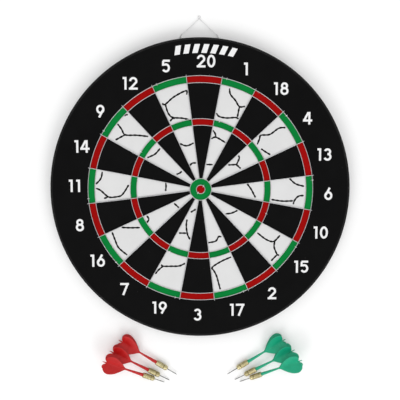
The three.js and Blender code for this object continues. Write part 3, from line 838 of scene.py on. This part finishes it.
STAPLE = {"wire": 0.75, "reach": 2.1, "tip": 12.0, "corner": 0.7}
FROM_RADIAL = 2.4                                    # degrees from a radial wire to a staple on the doubles
STAPLE_PLACES = ([(DOUBLE[1], WEDGE / 2 + FROM_RADIAL + 2 * WEDGE * i) for i in range(10)]
                 + [(TREBLE[1], clock) for clock in (13.5, 108.5, 204.5, 300.5)]
                 + [(INNER_BULL, clock) for clock in (36.0, 216.0)])


def staple_path(half, top, tip, corner):
    """A U in (across, height): leg, quarter circle, crown, quarter circle, leg."""
    quarter = np.linspace(0, np.pi / 2, 6)
    right = np.stack([half - corner + corner * np.cos(quarter),
                      top - corner + corner * np.sin(quarter)], axis=1)
    return np.vstack([[[half, tip], [half, top - corner - 1.0]], right, right[::-1] * [-1, 1],
                      [[-half, top - corner - 1.0], [-half, tip]]])


def spider_staple(radius, clock):
    """The staple's U stood across a ring wire, a little askew as it was driven."""
    askew = np.radians(random.normal(0.0, 6.0))
    half = STAPLE["reach"] - STAPLE["wire"] / 2
    top = FACE_TOP + WIRE + STAPLE["wire"] / 2 + 0.05
    across, height = staple_path(half, top, STAPLE["tip"], STAPLE["corner"]).T
    out = (spot(radius + 1, clock) - spot(radius, clock))
    side = np.array([out[1], -out[0]])
    heading = np.cos(askew) * out + np.sin(askew) * side
    plan = spot(radius, clock) + across[:, None] * heading
    normal = (-heading[1], heading[0], 0.0)
    return tube(np.column_stack([plan, height]), STAPLE["wire"] / 2, normal, sides=8)


STAPLE_WIRE = drawn_wire("staple_wire", (0.78, 0.78, 0.78), (0.95, 0.95, 0.95), 0.28)
for i, place in enumerate(STAPLE_PLACES, start=1):
    piece(f"staple_{i:02d}", [spider_staple(*place)], STAPLE_WIRE, slot="staple_wire",
          stands_for=[f"spider_staple_{i:02d}"], smooth=80.0)


# ---- Hanger staples ----
# Two stouter staples are driven into the rim at the top, crowns along the edge.
# They carry the hanger's eyes.

HANGER_STAPLE = {"wire": 1.2, "width": 8.0, "depth": 15.0, "corner": 1.0}


def hanger_staple(name):
    """The staple's U laid flat: its crown along X just outside the rim, its legs driven in along -Y."""
    low, high = box_of(name)
    middle = (low + high) / 2
    crown = high[1] - HANGER_STAPLE["wire"] / 2
    half = (HANGER_STAPLE["width"] - HANGER_STAPLE["wire"]) / 2
    across, out = staple_path(half, 0.0, -HANGER_STAPLE["depth"] + 0.6, HANGER_STAPLE["corner"]).T
    path = np.column_stack([middle[0] + across, crown + out, np.full(len(across), middle[2])])
    return tube(path, HANGER_STAPLE["wire"] / 2, (0.0, 0.0, 1.0))


for side in ("left", "right"):
    piece(f"rim_staple_{side}", [hanger_staple(f"hanger_staple_{side}")], STAPLE_WIRE, slot="staple_wire",
          stands_for=[f"hanger_staple_{side}"], smooth=80.0)


# ---- Hanger ----
# One soft steel wire is bent into a triangle with a nail eye at its top. Each end makes an eye round a rim
# staple and is twisted back round its own leg. It hinges on the staples.

hinge = next(joint for joint in frame["joints"] if joint["name"] == "hanger_swing")
PIVOT = np.array(hinge["pos_m"]) / MM
HANGER = {"half_span": 28.0, "apex": 32.0, "wire": 0.9, "eye": 1.8, "droop": 6.0}


def hung(path):
    """Points of the flat hanger, pivot at 0 and apex along +Y, drooped about X and put on its pivot."""
    tilt = -math.radians(HANGER["droop"])
    x, y, z = path.T
    return PIVOT + np.stack([x, y * math.cos(tilt) - z * math.sin(tilt),
                             y * math.sin(tilt) + z * math.cos(tilt)], axis=1)


def hanger_legs():
    """Left leg, nail eye and right leg: two straight runs joined by a loop of one turn less the crossing.

    The legs pass each other under the eye, so one runs half a wire above the other there.
    """
    middle = HANGER["apex"] - HANGER["eye"]
    loop = np.radians(np.linspace(-62, 242, 28))
    eye = np.stack([HANGER["eye"] * np.cos(loop), middle + HANGER["eye"] * np.sin(loop)], axis=1)[::-1]
    run = np.linspace(0, 1, 12, endpoint=False)[:, None]
    foot = np.array([HANGER["half_span"] - 0.4, HANGER["eye"] + 0.4])
    neck = eye[-1]
    left = (1 - run) * (foot * [-1, 1]) + run * (neck * [1, 1])
    right = (1 - run) * foot + run * (neck * [-1, 1])
    plan = np.vstack([left, eye[::-1], right[::-1]])
    lift = np.interp(np.linspace(-1, 1, len(plan)), [-0.5, -0.25, 0.25, 0.5], [0.0, -0.42, 0.42, 0.0])
    return np.column_stack([plan, lift])


def hanger_eye(side):
    """An eye round the staple's crown, one turn about X, its end laid on its start."""
    turn = np.linspace(np.radians(95), np.radians(95 + 400), 40)
    drift = np.linspace(0.55, -0.55, 40)
    return np.stack([side * HANGER["half_span"] + drift * side, HANGER["eye"] * np.cos(turn - np.pi / 2),
                     HANGER["eye"] * np.sin(turn - np.pi / 2)], axis=1)


def hanger_twist(side):
    """The end wound three times round its leg: a helix about the leg's line."""
    foot = np.array([side * (HANGER["half_span"] - 0.2), HANGER["eye"] + 0.3, 0.0])
    along = np.array([-side * (HANGER["half_span"] - 2), HANGER["apex"] - 4, 0.0])
    along /= np.linalg.norm(along)
    over = np.array([0.0, 0.0, 1.0])
    beside = np.cross(along, over)
    turn = np.linspace(0, 3 * 2 * np.pi, 60)[:, None]
    grip = 0.7
    coil = foot + along * turn / (2 * np.pi) * 0.95 + grip * (np.cos(turn) * over + np.sin(turn) * beside)
    return coil, along


def hanger_shells():
    wire = HANGER["wire"] / 2
    shells = [tube(hung(hanger_legs()), wire, (0.0, -0.12, 1.0))]
    for side in (-1, 1):
        coil, along = hanger_twist(side)
        shells += [tube(hung(hanger_eye(side)), wire, (1.0, 0.0, 0.0)), tube(hung(coil), 0.3, along, sides=8)]
    return shells


HANGER_WIRE = drawn_wire("hanger_wire", (0.66, 0.66, 0.66), (0.86, 0.86, 0.86), 0.4)
piece("hanger_bent_wire", hanger_shells(), HANGER_WIRE, body="hanger", slot="hanger_wire",
      stands_for=["hanger_wire"], smooth=80.0)


# ---- Dart needles ----
# A needle of hardened steel, ground to a long point and pressed into the barrel's nose.
# It stands bare for 19 mm in front of the barrel, to hold in the paper.

DART = {"needle": 19.0, "socket": 6.0, "barrel_end": 39.0, "neck": 68.0, "vane_end": 105.0, "length": 107.5}
SET_MIRROR_X = 2.7                                   # the green set mirrors the red one about this X
# Tip of each red dart in plan, the way its tail points, its tip's height and its upward pitch.
DART_LAY = (
    {"x": -55.5, "y": -304.3, "heading": 154.7, "tip": 0.9, "pitch": 16.5},
    {"x": -47.7, "y": -301.4, "heading": 149.9, "tip": 0.8, "pitch": 9.2},
    {"x": -35.9, "y": -291.6, "heading": 147.5, "tip": 3.0, "pitch": 3.2},
)
DARTS = [(f"{colour}_dart_{i}", lay, colour == "green") for colour in ("red", "green")
         for i, lay in enumerate(DART_LAY, start=1)]


def laid(shells, lay, mirrored):
    """Shells drawn along +X from the tip at 0, pitched up about Y, turned to the heading and put in place."""
    heading = math.radians(180 - lay["heading"] if mirrored else lay["heading"])
    pitch = math.radians(lay["pitch"])
    foot = np.array([2 * SET_MIRROR_X - lay["x"] if mirrored else lay["x"], lay["y"], lay["tip"]])
    pitched = np.array([[math.cos(pitch), 0, -math.sin(pitch)], [0, 1, 0],
                        [math.sin(pitch), 0, math.cos(pitch)]])
    turned_to = np.array([[math.cos(heading), -math.sin(heading), 0],
                          [math.sin(heading), math.cos(heading), 0], [0, 0, 1]])
    return [(points @ (turned_to @ pitched).T + foot, faces) for points, faces in shells]


def along_dart(profile, steps):
    """A profile of [distance x, radius r] points turned about the dart's axis: (x, r cos a, r sin a)."""
    distance, radius = np.array(profile, dtype=float).T
    angle = np.linspace(0, 2 * np.pi, steps, endpoint=False)[:, None]
    grid = np.stack([np.broadcast_to(distance, (steps, len(distance))), radius * np.cos(angle),
                     radius * np.sin(angle)], axis=-1)
    return shell(grid, around=False, along=True)


def needle_profile():
    """Point ground as an ogive: over its first 4 mm the radius grows as a quarter sine."""
    radius = 0.6
    share = np.linspace(0, 1, 10)
    point = np.column_stack([4.0 * share, radius * np.sin(share * np.pi / 2)])
    end = DART["needle"] + DART["socket"] - 0.3
    return np.vstack([point, [[end, radius], [end, 0.0]]])


def ground_steel():
    """Hardened steel with grinding rings round the needle and a straw-grey bloom."""
    material, tree, shader = finish("needle_steel", (0.5, 0.5, 0.49), 0.3, Metallic=1.0)
    place = node(tree, "ShaderNodeTexCoord").outputs["Object"]
    marks = node(tree, "ShaderNodeTexNoise", {"Vector": place, "Scale": 2200.0, "Detail": 3.0}).outputs[0]
    bloom = node(tree, "ShaderNodeTexNoise", {"Vector": place, "Scale": 120.0, "Detail": 2.0}).outputs[0]
    coloured(tree, shader, ranged(tree, bloom, 0.35, 0.65), (0.1, 0.1, 0.095), (0.24, 0.24, 0.23))
    roughened(tree, shader, marks, 0.22, 0.42)
    bumped(tree, shader, marks, 0.00001)
    return material


NEEDLE_STEEL = ground_steel()
for dart, lay, mirrored in DARTS:
    piece(f"{dart}_point", laid([along_dart(needle_profile(), 16)], lay, mirrored), NEEDLE_STEEL, body=dart,
          slot="needle_steel", stands_for=[f"{dart}_needle"], smooth=60.0)


# ---- Dart barrels ----
# Each barrel is turned from brass rod: a rounded nose, a ring groove behind it, a knurled grip and a plain
# rear collar, bored for the needle and for the shaft.

BARREL_RADIUS = 4.0
KNURL = {"depth": 0.16, "start": 9.2, "stop": 18.0, "teeth": 26, "twist": 2.2}
BORE = {"needle": 0.7, "shaft": 2.3, "depth": 6.0}


def barrel_radius(x):
    """Outer radius against distance from the nose: nose curve, ring groove, grip and rear chamfer."""
    stations = [0.0, 0.3, 0.8, 1.6, 2.6, 3.8, 5.8, 6.1, 6.4, 7.4, 7.7, 8.0, 18.4, 18.7, 19.2, 19.6, 20.0]
    shares = [0.58, 0.68, 0.79, 0.89, 0.96, 1.0, 1.0, 0.97, 0.87, 0.87, 0.97, 1.0, 1.0,
              0.96, 0.96, 0.94, 0.88]
    return BARREL_RADIUS * np.interp(x, stations, shares)


def barrel():
    """The outer surface as a grid of turns and distances, less the knurl, closed by both bores.

    Knurl: two crossing screws, cut by the depth times the larger of |cos(teeth a / 2 + twist x)| and
    |cos(teeth a / 2 - twist x)|, raised to the sixth power and faded at the grip's ends.
    """
    length = DART["barrel_end"] - DART["needle"]
    x = np.concatenate([[0, 0.3, 0.8, 1.6, 2.6, 3.8, 5.8, 6.1, 6.4, 7.4, 7.7, 8.0, 8.8],
                        np.arange(KNURL["start"], KNURL["stop"], 0.17),
                        [18.2, 18.4, 18.7, 19.2, 19.6, length]])
    angle = np.linspace(0, 2 * np.pi, 156, endpoint=False)[:, None]
    fade = np.clip(np.minimum(x - KNURL["start"], KNURL["stop"] - x) / 0.35, 0, 1)
    cuts = [np.abs(np.cos(KNURL["teeth"] / 2 * angle + way * KNURL["twist"] * x)) ** 6 for way in (-1, 1)]
    radius = barrel_radius(x) - KNURL["depth"] * fade * np.maximum(*cuts)
    floor_at = length - BORE["depth"]
    rear_bore = np.array([[length, BORE["shaft"]], [floor_at, BORE["shaft"]], [floor_at, 0.0]])
    nose_bore = np.array([[BORE["depth"], 0.0], [BORE["depth"], BORE["needle"]], [0.0, BORE["needle"]]])
    count = len(angle)
    distance = np.concatenate([nose_bore[:, 0], x, rear_bore[:, 0]])
    radius = np.hstack([np.tile(nose_bore[:, 1], (count, 1)), radius, np.tile(rear_bore[:, 1], (count, 1))])
    grid = np.stack([DART["needle"] + np.broadcast_to(distance, radius.shape), radius * np.cos(angle),
                     radius * np.sin(angle)], axis=-1)
    return shell(grid, around=False, along=True)


def turned_brass():
    """Pale brass under thin lacquer: warmer and darker in the grooves, with faint tarnish clouds."""
    material, tree, shader = finish("brass", (0.66, 0.56, 0.28), 0.3, Metallic=1.0)
    place = node(tree, "ShaderNodeTexCoord").outputs["Object"]
    tarnish = node(tree, "ShaderNodeTexNoise", {"Vector": place, "Scale": 160.0, "Detail": 5.0}).outputs[0]
    hollow = ranged(tree, node(tree, "ShaderNodeNewGeometry").outputs["Pointiness"], 0.42, 0.5)
    metal = blended(tree, ranged(tree, tarnish, 0.35, 0.7), (0.6, 0.53, 0.3), (0.38, 0.32, 0.16))
    coloured(tree, shader, hollow, (0.12, 0.09, 0.03), metal)
    roughened(tree, shader, tarnish, 0.24, 0.4)
    bumped(tree, shader, tarnish, 0.00001)
    return material


BRASS = turned_brass()
for dart, lay, mirrored in DARTS:
    piece(f"{dart}_knurled_barrel", laid([barrel()], lay, mirrored), BRASS, body=dart, slot="brass",
          stands_for=[f"{dart}_barrel"], smooth=50.0)


# ---- Dart flights ----
# Shaft and four thin vanes are moulded in one in soft, slightly see-through plastic. Four ridges run up the
# tapering shaft and open out into the vanes, which are pressed flat here by lying on each other.

VANE = {"radius": 15.8, "thickness": 0.55, "lift": 28.0}
# One vane's outer edge from its root at the neck, out round its lobe and back into the rear notch:
# distance behind the neck, and height as a share of the vane's radius.
VANE_EDGE = [(0.0, 0.06), (3.5, 0.17), (9.0, 0.46), (14.5, 0.71), (20.0, 0.89), (26.0, 0.99), (31.0, 0.96),
             (35.2, 0.79), (37.0, 0.54), (36.0, 0.27), (32.5, 0.05)]


def shaft():
    """The shaft as a grid of distances and turns, with four ridges.

    Radius: a taper in stages, times 0.88 plus 0.12 of the larger of cos(a - lift) and cos(a + lift), each
    raised to the eighth power so that the ridges stay narrow.
    """
    shoulder = DART["barrel_end"] + 0.3
    stations = [shoulder - 4.8, shoulder, shoulder, DART["neck"],
                DART["vane_end"] - 3, DART["vane_end"], DART["length"]]
    radii = [1.9, 1.9, 2.55, 1.35, 1.0, 0.75, 0.45]
    x = np.concatenate([[shoulder - 4.8, shoulder], np.linspace(shoulder + 0.01, DART["length"], 48)])
    radius = np.interp(x, stations, radii)[:, None]
    angle = np.linspace(0, 2 * np.pi, 32, endpoint=False)[None, :]
    lift = np.radians(VANE["lift"])
    ridge = np.maximum(np.cos(angle - lift) ** 8, np.cos(angle + lift) ** 8)
    section = radius * (0.88 + 0.12 * ridge) * np.where(x < shoulder, 1 / 0.95, 1.0)[:, None]
    grid = np.stack([np.broadcast_to(x[:, None], section.shape), section * np.cos(angle),
                     section * np.sin(angle)], axis=-1)
    return shell(grid)


def vane(turn):
    """One vane: ruled from its root on the shaft to its outer edge, with a rounded rim.

    The middle surface runs from root (x, 0.4) to edge (x, y) as a share t; its thickness falls from the root
    to 0.55 of the vane's own and swells to a bead at the rim; it is bent by 0.45 mm times t squared.
    """
    edge = smooth_line([(x, share * VANE["radius"]) for x, share in VANE_EDGE], 5)
    root = np.column_stack([np.linspace(1.0, DART["vane_end"] - DART["neck"] - 3.0, len(edge)),
                            np.full(len(edge), 0.4)])
    t = np.array([0, 0.15, 0.35, 0.6, 0.8, 0.93, 0.985, 1.0])[None, :, None]
    middle = (1 - t) * root[:, None] + t * edge[:, None]
    thick = VANE["thickness"] * np.interp(t[0, :, 0], [0, 0.35, 0.8, 0.93, 0.985, 1.0],
                                          [1.1, 0.6, 0.55, 0.9, 0.7, 0.12])
    camber = 0.45 * t[..., 0] ** 2 * np.ones(len(edge))[:, None]
    sides = [np.concatenate([middle, (camber + way * thick / 2)[..., None]], axis=-1) for way in (1, -1)]
    loop = np.concatenate([sides[0], sides[1][:, ::-1]], axis=1)
    points, faces = shell(loop)
    along, out, over = points.T
    return np.column_stack([DART["neck"] + along, out * math.cos(turn) - over * math.sin(turn),
                            out * math.sin(turn) + over * math.cos(turn)]), faces


def flight():
    lift = math.radians(VANE["lift"])
    return [shaft()] + [vane(turn) for turn in (lift, math.pi - lift, math.pi + lift, -lift)]


def soft_plastic(name, deep, pale):
    """Moulded polythene: part of the light goes through, with a waxy bloom and faint flow marks."""
    material, tree, shader = finish(name, deep, 0.38, **{
        "Transmission Weight": 0.1, "IOR": 1.45, "Specular IOR Level": 0.4})
    place = node(tree, "ShaderNodeTexCoord").outputs["Object"]
    flow = node(tree, "ShaderNodeTexNoise",
                {"Vector": place, "Scale": 90.0, "Detail": 3.0, "Distortion": 1.5}).outputs[0]
    coloured(tree, shader, ranged(tree, flow, 0.3, 0.7), deep, pale)
    roughened(tree, shader, flow, 0.32, 0.46)
    bumped(tree, shader, flow, 0.00005)
    return material


PLASTIC = {"red": soft_plastic("red_plastic", (0.48, 0.005, 0.005), (0.56, 0.012, 0.012)),
           "green": soft_plastic("green_plastic", (0.005, 0.36, 0.195), (0.009, 0.41, 0.225))}
for dart, lay, mirrored in DARTS:
    colour = dart.split("_")[0]
    piece(f"{dart}_shaft_and_vanes", laid(flight(), lay, mirrored), PLASTIC[colour], body=dart,
          slot=f"{colour}_plastic", stands_for=[f"{dart}_flight"], smooth=45.0)


# ---- Floor, light and camera ----
# The set lies on a plain white surface under three large soft lamps.
# The camera looks down on it from almost straight above the board.

def floor():
    material, tree, shader = finish("white_floor", (0.97, 0.97, 0.97), 0.8, **{"Specular IOR Level": 0.1})
    points, faces = turned([[0, -0.05], [9000, -0.05]], 96)
    mesh = bpy.data.meshes.new("floor")
    mesh.from_pydata((points * MM).tolist(), [], faces)
    mesh.materials.append(material)
    made = bpy.data.objects.new("floor", mesh)
    bpy.context.scene.collection.objects.link(made)


def lamp(name, place, size, power):
    """A square soft lamp looking at the middle of the set."""
    light = bpy.data.lights.new(name, "AREA")
    light.shape = "SQUARE"
    light.size = size
    light.energy = power
    made = bpy.data.objects.new(name, light)
    made.location = place
    made.rotation_euler = (-Vector(place)).to_track_quat("-Z", "Y").to_euler()
    made.visible_camera = False
    bpy.context.scene.collection.objects.link(made)


floor()
LAMP_SIZE = 2.4
lamp("front_left_lamp", (-2.2, -3.4, 3.4), LAMP_SIZE, 55.0)
lamp("front_right_lamp", (2.2, -3.4, 3.4), LAMP_SIZE, 55.0)
lamp("top_lamp", (0.0, 1.2, 5.0), LAMP_SIZE, 30.0)

world = bpy.data.worlds.new("studio")
world.use_nodes = True
world.node_tree.nodes["Background"].inputs["Color"].default_value = (1.0, 1.0, 1.0, 1.0)
world.node_tree.nodes["Background"].inputs["Strength"].default_value = 0.76
bpy.context.scene.world = world
bpy.context.scene.view_settings.view_transform = "Standard"

# The camera stands a metre from the board's middle and leans, so that the rim at the hanger is nearer.
CAMERA_DISTANCE = 1.0
VIEW_WIDTH = 0.601
LEAN = (0.019, -0.084)                               # the view axis in plan, for one unit of its length
AIM = (0.001, 0.016)                                 # the board's middle, right of and above the view's
forward = Vector((*LEAN, -math.sqrt(1 - LEAN[0] ** 2 - LEAN[1] ** 2)))
upward = (Vector((0, 1, 0)) - forward * forward.y).normalized()
rightward = forward.cross(upward)
camera_data = bpy.data.cameras.new("camera")
camera_data.lens = camera_data.sensor_width * CAMERA_DISTANCE / VIEW_WIDTH
camera = bpy.data.objects.new("camera", camera_data)
camera.location = (Vector((0, 0, FACE_TOP * MM)) - rightward * AIM[0] - upward * AIM[1]
                   - forward * CAMERA_DISTANCE)
camera.rotation_euler = Matrix((rightward, upward, -forward)).transposed().to_euler()
bpy.context.scene.collection.objects.link(camera)
bpy.context.scene.camera = camera

bpy.context.view_layer.update()
